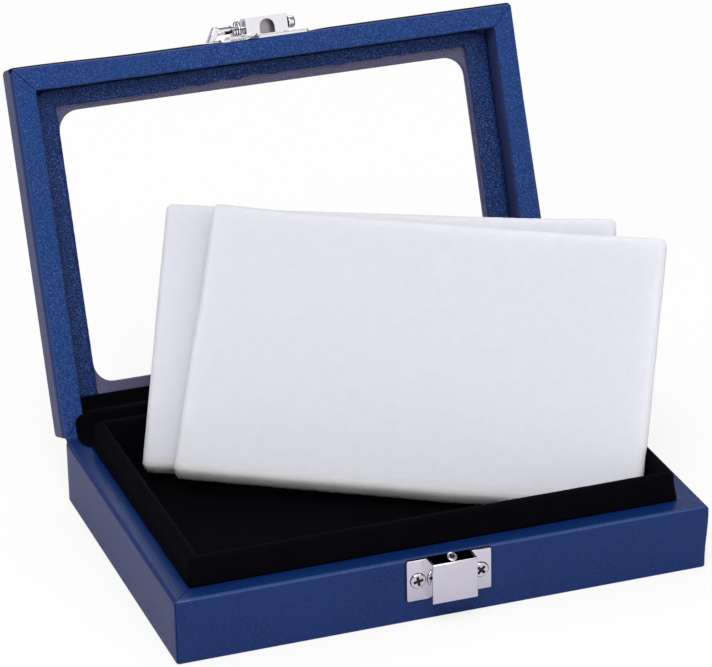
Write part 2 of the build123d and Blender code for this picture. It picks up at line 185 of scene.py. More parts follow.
def bevelEdges(bm, edges, offset, segments=3):
    return bmesh.ops.bevel(bm, geom=edges, offset=offset, offset_type="OFFSET", affect="EDGES",
                           segments=segments, profile=0.5, material=-1, clamp_overlap=True)


def edgesAlong(bm, axis):
    return [e for e in bm.edges if abs((e.verts[1].co - e.verts[0].co).normalized()[axis]) > 0.999]


def edgesAt(bm, axis, value, within=1e-5):
    return [edge for edge in bm.edges if all(abs(v.co[axis] - value) < within for v in edge.verts)]


def faceTowards(bm, way):
    way = Vector(way)
    bm.normal_update()
    return max((f for f in bm.faces if f.normal.dot(way) > 0.99),
               key=lambda f: (f.calc_center_median().dot(way), f.calc_area()))


def addRod(bm, start, end, radius, segments=32):
    start, end = Vector(start), Vector(end)
    way = end - start
    turn = way.to_track_quat("Z", "Y").to_matrix().to_4x4()
    bmesh.ops.create_cone(bm, cap_ends=True, segments=segments, radius1=radius, radius2=radius,
                          depth=way.length, matrix=Matrix.Translation((start + end) / 2) @ turn)


# Extrudes one face and moves the new one
def pushFace(bm, face, way):
    moved = bmesh.ops.extrude_discrete_faces(bm, faces=[face])["faces"][0]
    bmesh.ops.translate(bm, vec=way, verts=moved.verts)
    return moved


# Takes another bmesh in
def absorb(bm, other, place=None):
    mesh = bpy.data.meshes.new("part")
    other.to_mesh(mesh)
    other.free()
    if place is not None:
        mesh.transform(place)
    bm.from_mesh(mesh)
    bpy.data.meshes.remove(mesh)


# Gives another of the piece's materials to the faces for which the test of face and middle holds
def paint(faces, index, test):
    for face in faces:
        if test(face, face.calc_center_median()):
            face.material_index = index


def thicken(piece, thickness):
    thick = piece.modifiers.new("thickness", "SOLIDIFY")
    thick.thickness = thickness
    thick.offset = 0


def finishPiece(name, bm, material, body, place=None, sharp=35, more=()):
    if place is not None:
        bmesh.ops.transform(bm, matrix=place, verts=bm.verts)
    bmesh.ops.remove_doubles(bm, verts=bm.verts, dist=1e-7)
    bmesh.ops.recalc_face_normals(bm, faces=bm.faces)
    mesh = bpy.data.meshes.new(name)
    bm.to_mesh(mesh)
    bm.free()
    mesh.polygons.foreach_set("use_smooth", [True] * len(mesh.polygons))
    if sharp:
        mesh.set_sharp_from_angle(angle=radians(sharp))
    for one in (material, *more):
        mesh.materials.append(one)
    piece = addObject(name, mesh)
    if body:
        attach(piece, body)
    return piece


# Shared material effects

# A node group with values as its inputs and outputs
def newGroup(name, inputs, outputs):
    group = bpy.data.node_groups.new(name, "ShaderNodeTree")
    for label, value in inputs.items():
        group.interface.new_socket(name=label, in_out="INPUT", socket_type="NodeSocketFloat").default_value = value
    for label in outputs:
        group.interface.new_socket(name=label, in_out="OUTPUT", socket_type="NodeSocketFloat")
    return group, group.nodes.new("NodeGroupInput").outputs, group.nodes.new("NodeGroupOutput")


# Links a node's inputs to other nodes, or sets their values
def feed(tree, node, values):
    for label, value in values.items():
        target = node.inputs[label]
        if isinstance(value, bpy.types.NodeSocket):
            tree.links.new(value, target)
        else:
            target.default_value = (*value, 1) if target.type == "RGBA" else value


def addNode(tree, kind, values=None, **settings):
    node = tree.nodes.new("ShaderNode" + kind)
    for name, value in settings.items():
        setattr(node, name, value)
    feed(tree, node, values or {})
    return node


def mathNode(tree, operation, first, second, clamp=False):
    return addNode(tree, "Math", {0: first, 1: second}, operation=operation, use_clamp=clamp).outputs[0]


# Stretches the values between start and end over low to high
def spread(tree, value, low, high, start=0, end=1):
    return addNode(tree, "MapRange", {"Value": value, "From Min": start, "From Max": end, "To Min": low,
                                      "To Max": high}).outputs["Result"]


# Textures lie still on their pieces
def onPiece(tree):
    return addNode(tree, "TexCoord").outputs["Object"]


def noiseNode(tree, scale, detail, **more):
    return addNode(tree, "TexNoise", {"Vector": onPiece(tree), "Scale": scale, "Detail": detail, **more})


def makePebbleGroup():
    # Rounded leather pebbles with fine pores between them, and specks of painted glint
    group, given, result = newGroup("pebbleGrain", dict(Scale=1500.0, Pores=0.4, Speckle=1500.0), ("Height", "PaintedGlint"))
    bend = noiseNode(group, 700, 2).outputs["Color"]
    lean = addNode(group, "VectorMath", {0: bend, 1: (0.0007,) * 3, 2: onPiece(group)}, operation="MULTIPLY_ADD")
    cells = addNode(group, "TexVoronoi", {"Vector": lean.outputs[0], "Scale": given["Scale"], "Smoothness": 0.35},
                    feature="SMOOTH_F1")
    pebble = mathNode(group, "SUBTRACT", 1.0, cells.outputs["Distance"], clamp=True)
    pore = mathNode(group, "MULTIPLY", noiseNode(group, 4200, 1).outputs["Fac"], given["Pores"])
    patch = noiseNode(group, given["Speckle"], 2, Roughness=0.6).outputs["Fac"]
    feed(group, result, {"Height": mathNode(group, "ADD", pebble, pore),
                         "PaintedGlint": spread(group, patch, 0, 1, 0.52, 0.64)})
    return group


def makeDriftGroup():
    # Slow colour drift and faint scuffs over a whole piece
    group, given, result = newGroup("slowDrift", dict(Scale=30.0), ("Drift", "Scuff"))
    scuff = noiseNode(group, 260, 6, Distortion=1.5).outputs["Fac"]
    feed(group, result, {"Drift": noiseNode(group, given["Scale"], 3).outputs["Fac"],
                         "Scuff": spread(group, scuff, 0, 1, 0.6, 0.75)})
    return group


pebbleGroup = makePebbleGroup()
driftGroup = makeDriftGroup()


def startMaterial(name):
    material = bpy.data.materials.new(name)
    material.use_nodes = True
    return material, material.node_tree, material.node_tree.nodes["Principled BSDF"]


def placeGroup(tree, group, **values):
    node = tree.nodes.new("ShaderNodeGroup")
    node.node_tree = group
    feed(tree, node, values)
    return node.outputs


def mixColor(tree, factor, first, second):
    return addNode(tree, "Mix", {"Factor": factor, "A": first, "B": second}, data_type="RGBA").outputs["Result"]


def mixShaders(tree, factor, first, second):
    mix = addNode(tree, "MixShader", {0: factor, 1: first.outputs[0], 2: second.outputs[0]})
    feed(tree, tree.nodes["Material Output"], {"Surface": mix.outputs[0]})


def bumpNode(tree, height, strength, distance):
    return addNode(tree, "Bump", {"Strength": strength, "Distance": distance, "Height": height}).outputs["Normal"]


# The light path, and whether the camera sees the place, straight or through the pane
def lightPath(tree):
    path = addNode(tree, "LightPath").outputs
    return path, mathNode(tree, "MAXIMUM", path["Is Camera Ray"], path["Is Transmission Ray"])


def makeLeather(name, deep, light, scale, bump, rough, glintShare=0.5, gloss=0.24, speckle=1500.0, drifting=0.5):
    material, tree, shader = startMaterial(name)
    grain = placeGroup(tree, pebbleGroup, Scale=scale, Speckle=speckle)
    drift = placeGroup(tree, driftGroup, Scale=28.0)
    body = mixColor(tree, spread(tree, drift["Drift"], 0.0, drifting), deep, light)
    patchy = spread(tree, drift["Drift"], 1.6 * glintShare, 0.2 * glintShare)
    # lighter specks over the grain, painted glints
    paintedGlints = mathNode(tree, "MULTIPLY", grain["PaintedGlint"], patchy, clamp=True)
    worn = mathNode(tree, "ADD", spread(tree, drift["Scuff"], 0.0, 0.06),
                    spread(tree, grain["Height"], rough + 0.06, rough - 0.06))
    feed(tree, shader, {"Base Color": mixColor(tree, paintedGlints, body, light), "Roughness": worn,
                        "Normal": bumpNode(tree, grain["Height"], bump, 0.00012), "Specular IOR Level": gloss})
    return material


def makeVelvet(name, deep, sheen):
    material, tree, shader = startMaterial(name)
    nap = noiseNode(tree, 2600, 3).outputs["Fac"]
    brushed = noiseNode(tree, 90, 4).outputs["Fac"]
    tone = mixColor(tree, spread(tree, brushed, 0.0, 1.0), deep, tuple(2.2 * c for c in deep))
    feed(tree, shader, {"Base Color": tone, "Normal": bumpNode(tree, nap, 0.6, 0.0003), "Roughness": 0.95,
                        "Specular IOR Level": 0.04, "Sheen Weight": sheen, "Sheen Roughness": 0.35,
                        "Sheen Tint": (0.8, 0.75, 0.9)})
    return material


def makeFoam(name, color, through, reach, undersideLightColor=None):
    material, tree, shader = startMaterial(name)
    cells = addNode(tree, "TexVoronoi", {"Vector": onPiece(tree), "Scale": 2400}).outputs["Distance"]
    soft = noiseNode(tree, 320, 5).outputs["Fac"]
    tone = mixColor(tree, spread(tree, soft, 0.0, 1.0), color, tuple(0.94 * c for c in color))
    # painted light on the down-facing lower edge of the pads
    if undersideLightColor:
        tone = mixColor(tree, addNode(tree, "Attribute", attribute_name="paintedUndersideLight").outputs["Fac"], tone, undersideLightColor)
    feed(tree, shader, {"Base Color": tone, "Normal": bumpNode(tree, mathNode(tree, "ADD", cells, soft), 0.2, 0.0003),
                        "Roughness": 0.95, "Specular IOR Level": 0.15, "Subsurface Weight": through,
                        "Subsurface Radius": (reach, reach, reach), "Subsurface Scale": 1.0})
    return material


def makeMetal(name, color, rough):
    material, tree, shader = startMaterial(name)
    drift = placeGroup(tree, driftGroup, Scale=180.0)
    tone = mixColor(tree, spread(tree, drift["Drift"], 0.0, 0.6), color, tuple(0.86 * c for c in color))
    shine = mathNode(tree, "ADD", spread(tree, drift["Scuff"], 0.0, 0.12), rough)
    feed(tree, shader, {"Base Color": tone, "Roughness": shine, "Metallic": 1.0})
    return material


def makeWood(name, color, dark):
    material, tree, shader = startMaterial(name)
    stretch = addNode(tree, "Mapping", {"Vector": onPiece(tree), "Scale": (40, 900, 900)})
    rings = addNode(tree, "TexNoise", {"Vector": stretch.outputs[0], "Scale": 1, "Detail": 6}).outputs["Fac"]
    feed(tree, shader, {"Base Color": mixColor(tree, rings, dark, color), "Roughness": 0.6,
                        "Normal": bumpNode(tree, rings, 0.3, 0.0002)})
    return material


def makeClear(name):
    material, tree, shader = startMaterial(name)
    drift = placeGroup(tree, driftGroup, Scale=40.0)
    feed(tree, shader, {"Base Color": (1, 1, 1), "Roughness": spread(tree, drift["Scuff"], 0.02, 0.05),
                        "Transmission Weight": 1.0, "IOR": 1.16})
    # Light passes straight through the pane, so that what is behind it isn't shaded
    path = addNode(tree, "LightPath").outputs
    passing = mathNode(tree, "MAXIMUM", path["Is Shadow Ray"], path["Is Diffuse Ray"])
    mixShaders(tree, passing, shader, addNode(tree, "BsdfTransparent"))
    return material


skinLeather = makeLeather("skinLeather", (0.0012, 0.0155, 0.087), (0.007, 0.038, 0.17), 1500, 0.45, 0.38)
liningLeather = makeLeather("liningLeather", (0.001, 0.0065, 0.043), (0.052, 0.138, 0.44), 1300, 1.0, 0.42, 1.0,
                            gloss=0.12, speckle=3100.0, drifting=0.1)
rimLeather = makeLeather("rimLeather", (0.002, 0.0165, 0.096), (0.055, 0.155, 0.47), 1400, 0.8, 0.36, 0.8,
                         gloss=0.11, speckle=3100.0, drifting=0.16)
# Purple-grey leather, a painted sheen on the band round the window
paintedSheenLeather = makeLeather("paintedSheenLeather", (0.062, 0.057, 0.12), (0.085, 0.078, 0.165), 2600, 0.02, 0.45, 0.05)
wallLeather = makeLeather("wallLeather", (0.02, 0.028, 0.095), (0.036, 0.045, 0.145), 2400, 0.2, 0.34, 0.3, gloss=0.3)
# Near-black leather, painted shade along the sides just below the rim edges
paintedShadeLeather = makeLeather("paintedShadeLeather", (0.002, 0.004, 0.018), (0.005, 0.01, 0.04), 1500, 0.2, 0.6, gloss=0.05)
# Lighter leather on the rounded rim edges, a painted highlight
paintedHighlightLeather = makeLeather("paintedHighlightLeather", (0.014, 0.036, 0.14), (0.04, 0.083, 0.25), 1500, 0.3, 0.28, 0.5, gloss=0.3)
blackVelvet = makeVelvet("blackVelvet", (0.0009, 0.0007, 0.0016), 0.006)
whiteFoam = makeFoam("whiteFoam", (0.665, 0.665, 0.73), 0.92, 0.01, (0.97, 0.94, 1.0))
brightChrome = makeMetal("brightChrome", (0.86, 0.86, 0.88), 0.07)
dullSteel = makeMetal("dullSteel", (0.5, 0.5, 0.52), 0.28)
springSteel = makeMetal("springSteel", (0.22, 0.21, 0.21), 0.2)
screwDirt = makeMetal("screwDirt", (0.07, 0.045, 0.035), 0.5)
# Near-black chrome, painted shade on the clasps' hollows, ends and edges
paintedShadeChrome = makeMetal("paintedShadeChrome", (0.035, 0.034, 0.036), 0.25)
# Dim chrome, painted half-shade inside the hood's arch
paintedHalfShadeChrome = makeMetal("paintedHalfShadeChrome", (0.34, 0.31, 0.32), 0.3)
railWood = makeWood("railWood", (0.55, 0.38, 0.22), (0.34, 0.21, 0.11))
greyBoard = makeWood("greyBoard", (0.33, 0.29, 0.24), (0.24, 0.21, 0.17))
blackPaper = makeVelvet("blackPaper", (0.012, 0.012, 0.014), 0.0)
greyFoam = makeFoam("greyFoam", (0.2, 0.2, 0.21), 0.25, 0.004)
clearPane = makeClear("clearPane")
print("materials made")


# Share of the way from one value to another, from 0 to 1 with soft ends
def softStep(value, start, end):
    share = min(max((value - start) / (end - start), 0), 1)
    return share * share * (3 - 2 * share)


# How close a place is to a wall, from 0 to 1 within the last millimetre
def atWall(value, wall):
    return softStep(value, wall - 1.2 * mm, wall - 0.1 * mm)


# Pulls a square corner region onto a quarter round
def roundOff(point, axes, core, ways):
    u, v = ((point[axis] - at) * way for axis, at, way in zip(axes, core, ways))
    if u > 0 and v > 0:
        share = max(u, v) / hypot(u, v)
        point[axes[0]] = core[0] + ways[0] * u * share
        point[axes[1]] = core[1] + ways[1] * v * share


# Base skin

baseSkin = inMillimetres(
    rail=7.4, corner=1.1, edge=1.0, foot=0.6, inner=0.5, wellFloor=3.6, groove=0.3, under=7.0, low=0.06,
    swell=1.1, soft=1.4, wallRings=(3.5, 7, 11, 15, 18, 19.4), nearRim=(2.0, 1.7, 1.35),
    rimRings=(1.35, 1.7, 2.0, 2.5, 3.7), fold=(0.05, 2),
    swellLow=(3, 19), swellHigh=(0, 1.6))
baseSkin.update(tight=0.2)


def buildBaseSkin():
    s = SimpleNamespace(**baseSkin)
    low, g = s.low, s.groove
    rings = []

    def add(inset, height, groove=(0, 0), tight=1.0):
        rings.append(cornerRing(inset - halfWidth, halfWidth - inset, inset - halfDepth, halfDepth - inset * tight,
                                s.corner - inset, height, groove))

    add(s.under, low)
    for out, down in quarter(s.foot, 3):
        add(out, low + down, (g if out < 1e-6 else 0, 0))
    for height in s.wallRings:
        add(0, baseLow.z + height, (g, 0))
    for down in s.nearRim:
        add(0, rimTop - down, (g, 0))
    for out, down in reversed(quarter(s.edge, 5)):
        add(out, rimTop - down, (g * 0.5, -g * 0.5), s.tight)
    for out in s.rimRings:
        add(out, rimTop, (0, -g))
    for out, down in quarter(s.inner, 3):
        add(s.rail - out, rimTop - down, (0, -g * 0.8))
    add(s.rail, s.wellFloor)
    bm = closedLoft(rings)
    for face in bm.faces:
        middle = face.calc_center_median()
        onRight = middle.x > halfWidth - 0.5 * s.edge and face.normal.x > 0.3
        besideEdge = middle.x > halfWidth - s.edge or middle.y < s.edge - halfDepth
        # painted shade on the right side just below the rim edge
        if onRight and s.fold[0] < rimTop - middle.z < s.fold[1]:
            face.material_index = 2
        # painted highlight on the rounded front and right rim edges
        elif middle.z > rimTop - 0.8 * s.edge and face.normal.z < 0.96 and besideEdge:
            face.material_index = 1
    for vert in bm.verts:
        roundOff(vert.co, (0, 2), (s.soft - halfWidth, rimTop - s.soft), (-1, 1))
        upright = softStep(vert.co.z, *s.swellLow) * softStep(rimTop - vert.co.z, *s.swellHigh)
        vert.co.x += s.swell * atWall(vert.co.x, halfWidth) * upright
    piece = finishPiece("base_skin", bm, skinLeather, "base", sharp=40,
                        more=(paintedHighlightLeather, paintedShadeLeather))
    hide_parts("base_cover")


buildBaseSkin()
print("base skin built")


# Lid skin

lidSkin = inMillimetres(
    length=125.0, thick=14.8, rail=7.4, corner=1.1, edge=0.9, outer=1.7, inner=0.6, backBevel=3.5, ceiling=11.42,
    groove=0.3, windowSide=16.2, windowHinge=16.0, windowFront=15.6, windowRound=7.0, windowEdge=0.6,
    turnedEdge=0.4, wallRings=(1.2, 1.6, 2.2, 3.2, 5.5, 8.5), besideBevel=(-0.4, 0, 0.4), claspSide=0.6,
    claspReach=(15.5, 20), swell=(0.5, 1.2, 0.55), cornerSwell=0.8, foldDepth=3.3,
    swellRim=(0.3, 2.2), swellTop=(0.3, 3), rightSwell=(-10, 90), leftCorner=(45, 84), cornerReach=7)
lidSkin.update(tight=0.2, claspSwell=0.25)


def buildLidSkin():
    s = SimpleNamespace(**lidSkin)
    length, thick, g = s.length, s.thick, s.groove
    bevelTop = thick - s.backBevel
    rings = []

    def add(inset, depth, groove=(0, 0), tight=1.0):
        ring = cornerRing(inset - halfWidth, halfWidth - inset, inset - length, -inset * tight,
                          s.corner - inset, halfGap + depth, groove)
        for point in ring:
            point.y = min(point.y, bevelTop - depth)
        rings.append(ring)

    def addWindow(grow, depth):
        rings.append(cornerRing(s.windowSide - grow - halfWidth, halfWidth - s.windowSide + grow,
                                s.windowFront - grow - length, grow - s.windowHinge,
                                s.windowRound + grow, halfGap + depth))

    add(s.rail, s.ceiling)
    for out, down in reversed(quarter(s.inner, 3)):
        add(s.rail - out, down, (0, g * 0.8))
    add(s.rail * 0.5, 0, (0, g))
    for out, down in quarter(s.edge, 4):
        add(out, down, (g * 0.5, g * 0.5), s.tight)
    for depth in (*s.wallRings, *(bevelTop + step for step in s.besideBevel)):
        add(0, depth, (g, 0))
    for out, down in reversed(quarter(s.outer, 4)):
        add(out, thick - down, (g * 0.5, -g * 0.5))
    for out, down in quarter(s.windowEdge, 3):
        addWindow(out, thick - down)
    for out, down in reversed(quarter(s.turnedEdge, 2)):
        addWindow(out, s.ceiling + down)
    rings.append(rings[0])
    bm = bmesh.new()
    loft(bm, rings)
    bmesh.ops.remove_doubles(bm, verts=bm.verts, dist=1e-7)
    bmesh.ops.recalc_face_normals(bm, faces=bm.faces)
    for face in bm.faces:
        middle = face.calc_center_median()
        depth = middle.z - halfGap
        beside = abs(middle.x) > halfWidth - s.edge or middle.y < s.edge - length
        inPaintedShade = beside and (middle.x > halfWidth - s.corner or middle.y < s.corner - length)
        # painted shade on the right and far sides just below the rim edge
        if inPaintedShade and 0.5 * s.edge < depth < s.foldDepth and abs(face.normal.z) < 0.75:
            face.material_index = 5
        # painted highlight on the rounded outer rim edges
        elif depth < 0.8 * s.edge and beside and face.normal.z > -0.96:
            face.material_index = 3
        elif s.inner < depth < s.ceiling - 0.1 * mm and not beside and abs(face.normal.z) < 0.3:
            face.material_index = 4
        elif depth < 0.3 * mm and abs(face.normal.z) > 0.7:
            face.material_index = 1
        # painted sheen on the ceiling band round the window
        elif depth > s.ceiling - 0.1 * mm and face.normal.z < -0.9:
            face.material_index = 2
    left, right, free = s.swell
    for vert in bm.verts:
        depth = vert.co.z - halfGap
        full = softStep(depth, *s.swellRim) * softStep(thick - depth, *s.swellTop)
        vert.co.x -= left * full * atWall(-vert.co.x, halfWidth)
        vert.co.x += right * full * atWall(vert.co.x, halfWidth) * softStep(length + vert.co.y, *s.rightSwell)
        # held flat by the clasp, and fuller at the left corner, where the leather is folded over
        clear = softStep(abs(vert.co.x - s.claspSide), *s.claspReach)
        share = s.claspSwell + (1 - s.claspSwell) * clear
        vert.co.y -= free * full * atWall(-vert.co.y, length) * share
        cornered = softStep(-vert.co.x, *s.leftCorner) * softStep(-vert.co.y, length - s.cornerReach, length)
        vert.co.y -= s.cornerSwell * cornered * (1 - depth / thick)
    piece = finishPiece("lid_skin", bm, skinLeather, "lid", lidPlace, sharp=40,
                        more=(rimLeather, paintedSheenLeather, paintedHighlightLeather, wallLeather, paintedShadeLeather))
    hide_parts("lid_cover")


buildLidSkin()
print("lid skin built")


# Textured lining on three sides of the pane

lining = inMillimetres(
    side=8.4, front=5.1, lift=9.9, thick=0.45, hingeEnd=12.4, round=1.6, under=0.3, wave=0.35, tuft=1.5,
    tuftReach=7.5, fuller=1.2, fullerReach=(2, 52))
lining.update(steps=90)


def buildLining():
    s, lid = SimpleNamespace(**lining), SimpleNamespace(**lidSkin)
    outX = halfWidth - lid.rail - s.under
    outFront = -lid.length + lid.rail + s.under
    inX = halfWidth - lid.rail - s.side
    inFront = -lid.length + lid.rail + s.front
    back = -s.hingeEnd
    r = s.round
    straight = back - inFront - r
    arc = pi * r / 2
    total = 2 * (straight + arc) + 2 * (inX - r)

    # The lining's window edge, from the hinge down the left side, along the front and back
    def along(t):
        d = t * total
        if d < straight:
            return (-inX, back - d), (-outX, back - d)
        d -= straight
        if d < arc:
            q = d / r
            edge = (-inX + r - r * cos(q), inFront + r - r * sin(q))
            share = d / arc
            if share < 0.5:
                return edge, (-outX, edge[1] + (outFront - edge[1]) * min(1, 2 * share))
            return edge, (-outX + (edge[0] + outX) * (2 * share - 1), outFront)
        d -= arc
        if d < 2 * (inX - r):
            return (-inX + r + d, inFront), (-inX + r + d, outFront)
        edge, outer = along(1 - t)
        return (-edge[0], edge[1]), (-outer[0], outer[1])

    bm = newGrid(4 * s.steps, 6)
    lift = halfGap + s.lift
    for vert in bm.verts:
        t, across = vert.co.x + 0.5, vert.co.y + 0.5
        edge, outer = along(min(max(t, 0), 1))
        wave = noise.noise((edge[0] * 160, edge[1] * 160, 3.0)) * s.wave * 2
        wave += noise.noise((edge[0] * 700, edge[1] * 700, 8.0)) * s.wave * 0.6
        x = edge[0] + (outer[0] - edge[0]) * across
        y = edge[1] + (outer[1] - edge[1]) * across
        inside = 1 - across
        atFront = edge[1] < inFront + r
        push = (wave + s.fuller * softStep(-edge[0], *s.fullerReach) * atFront) * inside
        x += copysign(wave * inside, x) if abs(edge[0]) > inX - r else 0
        y -= (2 * wave * inside - push) if atFront else 0
        far = hypot(abs(x) - outX + 3 * mm, y - outFront - 3 * mm) / s.tuftReach
        crease = abs(noise.noise((x * 330, y * 210, 4.0)))
        crease += 0.5 * abs(noise.noise((x * 900, y * 700, 9.0)))
        vert.co = (x, y, lift - s.tuft * max(0, 1 - far) ** 0.8 * (0.25 + 1.4 * crease))
    piece = finishPiece("lining_sheet", bm, liningLeather, "lid", lidPlace, sharp=0)
    thicken(piece, s.thick)
    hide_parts("lid_lining")


buildLining()
print("lining built")


# Velvet tray

trayVelvet = inMillimetres(
    wall=3.8, corner=2.6, top=1.5, floor=11.5, foot=4.0, skirt=1.1, innerRings=(27, 24, 20, 16), innerCorner=0.7,
    footInset=0.2, ripple=0.16, pile=0.06, full=0.5, droop=0.25, droopReach=7)
trayVelvet.update(
    skirtRings=((-0.7, 0.25), (-1.0, 0.7), (-0.8, 1.4), (-0.45, 2.6), (-0.25, 4.0), (-0.15, 5.6), (0, 6.9)))


def buildTray():
    s = SimpleNamespace(**trayVelvet)
    low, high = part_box("tray_velvet")
    rings = []

    def add(inset, height, corner):
        rings.append(cornerRing(low.x + inset, high.x - inset, low.y + inset, high.y - inset, corner, height,
                                cuts=(110, 76), seam=0.4 * mm))

    # outside, from the foot up over the rim's skirt, round the top and down inside
    top = high.z
    add(s.footInset, s.foot, s.corner)
    add(s.footInset, rimTop - 0.3 * mm, s.corner)
    for out, lift in s.skirtRings:
        add(out * s.skirt, rimTop + lift * mm, s.corner + 0.5 * mm)
    for out, down in reversed(quarter(s.top, 5)):
        add(out, top - down, s.corner - out)
    inner = s.wall
    for out, down in quarter(s.top, 5):
        add(inner - out, top - down, max(s.corner - inner + out, s.innerCorner))
    for height in (*s.innerRings, s.floor):
        add(inner, height, s.innerCorner)
    bm = closedLoft(rings)
    bm.normal_update()
    for vert in bm.verts:
        if vert.co.z > rimTop - 1 * mm:
            soft = noise.noise(vert.co * 60) * 1.0 + noise.noise(vert.co * 230) * 0.5
            nap = noise.noise(vert.co * 1500)
            inside = max(0, soft) if vert.co.z > rimTop + 3 * mm else soft
            vert.co += vert.normal * (s.pile * nap - s.ripple * inside)
            height = (vert.co.z - rimTop) / (top - rimTop)
            if vert.co.x > high.x - 0.6 * mm:
                vert.co.x += s.full * softStep(height, 0, 0.4) * softStep(1.08 - height, 0, 0.2)
            away = hypot(vert.co.x - high.x, vert.co.y - low.y)
            vert.co.z -= s.droop * softStep(s.droopReach - away, 0, s.droopReach) * softStep(height, 0.6, 1)
    piece = finishPiece("tray_velvet_skin", bm, blackVelvet, "base", sharp=0)
    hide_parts("tray_velvet")


trayFloor = inMillimetres(crown=0.9, below=0.2, dent=0.18)
trayFloor.update(columns=90, rows=60)


def buildFloor():
    s = SimpleNamespace(**trayFloor)
    low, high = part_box("tray_floor_cushion")
    bm = newGrid(s.columns, s.rows)
    size = high - low
    for vert in bm.verts:
        u, v = vert.co.x * 2, vert.co.y * 2
        crown = (1 - u ** 8) * (1 - v ** 8)
        dent = noise.noise((u * 5, v * 4, 1.7)) * s.dent
        vert.co = (u * size.x / 2, v * size.y / 2, high.z - s.crown * (1 - crown) - s.below + dent)
    lip = bmesh.ops.extrude_edge_only(bm, edges=[e for e in bm.edges if e.is_boundary])["geom"]
    for vert in onlyVerts(lip):
        vert.co.z = low.z
    bmesh.ops.contextual_create(bm, geom=[e for e in bm.edges if e.is_boundary])
    piece = finishPiece("tray_floor_pad", bm, blackVelvet, "base", sharp=50)
    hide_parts("tray_floor_cushion")


buildTray()
buildFloor()
print("tray built")


# Velvet over the hinge: one cloth from the lid's ledge to the base's back edge

hingeVelvet = inMillimetres(
    end=85.7, pile=0.32, ledge=12.6, ledgeLift=10.0, step=7.75, over=(-0.95, 1.4), overFoot=2.4, narrower=2.3,
    barrelFade=(4, 12), curl=4, fold=0.12, besideBack=1.6, besideFade=1.2)
hingeVelvet.update(columns=172, rows=52)


def onLid(a, b):
    return lidPlace @ Vector((0, -a, halfGap + b))


# A cloth's course through some points: the place at a share of its length, and the lengths so far
def alongRoute(route):
    lengths = [0]
    for first, second in zip(route, route[1:]):
        lengths.append(lengths[-1] + (second - first).length)

    def at(t):
        d = t * lengths[-1]
        for number in range(len(route) - 1):
            if d <= lengths[number + 1] or number == len(route) - 2:
                share = (d - lengths[number]) / (lengths[number + 1] - lengths[number])
                return route[number].lerp(route[number + 1], share)

    return at, lengths


def buildHingeVelvet():
    s = SimpleNamespace(**hingeVelvet)
    pile = s.pile
    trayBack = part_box("tray_velvet")[1].y
    route = [onLid(s.ledge, s.ledgeLift), onLid(s.step + 0.4 * mm, s.ledgeLift),
             onLid(s.step, s.ledgeLift - 0.6 * mm), onLid(s.step, 1.0 * mm),
             onLid(s.step - 0.6 * mm, -pile), onLid(1.5 * mm, -pile),
             hingePoint + Vector((0, -0.5 * mm, 0.3 * mm)),
             Vector((0, halfDepth - 1.8 * mm, rimTop + pile)), Vector((0, trayBack + 0.6 * mm, rimTop + pile)),
             Vector((0, trayBack + 0.35 * mm, rimTop + 1.2 * mm))]
    at, lengths = alongRoute(route)
    overBarrel = alongRoute(route[:5] + [onLid(s.overFoot, -pile), hingePoint + Vector((0, *s.over)),
                                         Vector((0, halfDepth - s.overFoot, rimTop + pile))] + route[8:])[0]
    whole = lengths[-1]
    bm = newGrid(s.columns, s.rows)
    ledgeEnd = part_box("window_pane")[1].x - 0.2 * mm
    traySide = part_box("tray_velvet")[1].x + 0.5 * mm
    for vert in bm.verts:
        u, t = vert.co.x * 2, vert.co.y + 0.5
        point = at(t).lerp(overBarrel(t), softStep(s.end * (1 - abs(u)), *s.barrelFade))
        leave = softStep(t * whole, lengths[3] - 0.9 * mm, lengths[3] + 3.5 * mm)
        curl = max(0, (t * whole - lengths[8] + s.curl) / s.curl)
        reach = ledgeEnd + (s.end - ledgeEnd) * leave - s.narrower * min(curl, 1.2) ** 2
        fold = noise.noise((u * 9, t * 7, 0.3)) * s.fold
        # beside the tray the cloth stays on the rim
        beside = min(max((abs(u * reach) - traySide) / s.besideFade, 0), 1) * min(curl, 1)
        vert.co = (u * reach, point.y - s.besideBack * beside - fold,
                   point.z + (rimTop + pile - point.z) * beside + fold)
    bmesh.ops.smooth_vert(bm, verts=[v for v in bm.verts if not v.is_boundary], factor=0.5,
                          use_axis_x=False, use_axis_y=True, use_axis_z=True)
    piece = finishPiece("hinge_velvet", bm, blackVelvet, None, sharp=0)
    thicken(piece, pile)
    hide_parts("hinge_velvet_base", "hinge_velvet_lid")
    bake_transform(piece)


# Leather fold behind the hinge line, which closes the gap between the lid's and the base's back edges

spine = inMillimetres(half=89.7, tuck=4.7, turn=0.7, dip=(0.4, -0.3), thick=0.2)
spine.update(columns=120, rows=26)


def buildSpine():
    s = SimpleNamespace(**spine)
    lift = 0.25 * s.thick
    route = [onLid(s.turn, s.tuck), onLid(s.turn, lift), hingePoint + Vector((0, *s.dip)),
             Vector((0, halfDepth - s.turn, rimTop - lift)), Vector((0, halfDepth - s.turn, rimTop - s.tuck))]
    at, lengths = alongRoute(route)
    bm = newGrid(s.columns, s.rows)
    for vert in bm.verts:
        point = at(vert.co.y + 0.5)
        vert.co = (vert.co.x * 2 * s.half, point.y, point.z)
    piece = finishPiece("spine_fold", bm, skinLeather, None, sharp=0)
    thicken(piece, s.thick)
    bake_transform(piece)


buildHingeVelvet()
buildSpine()
print("hinge velvet and spine built")


# Foam pads, each set by its lower left corner at the back in mm, and its yaw, lean and turn in plane

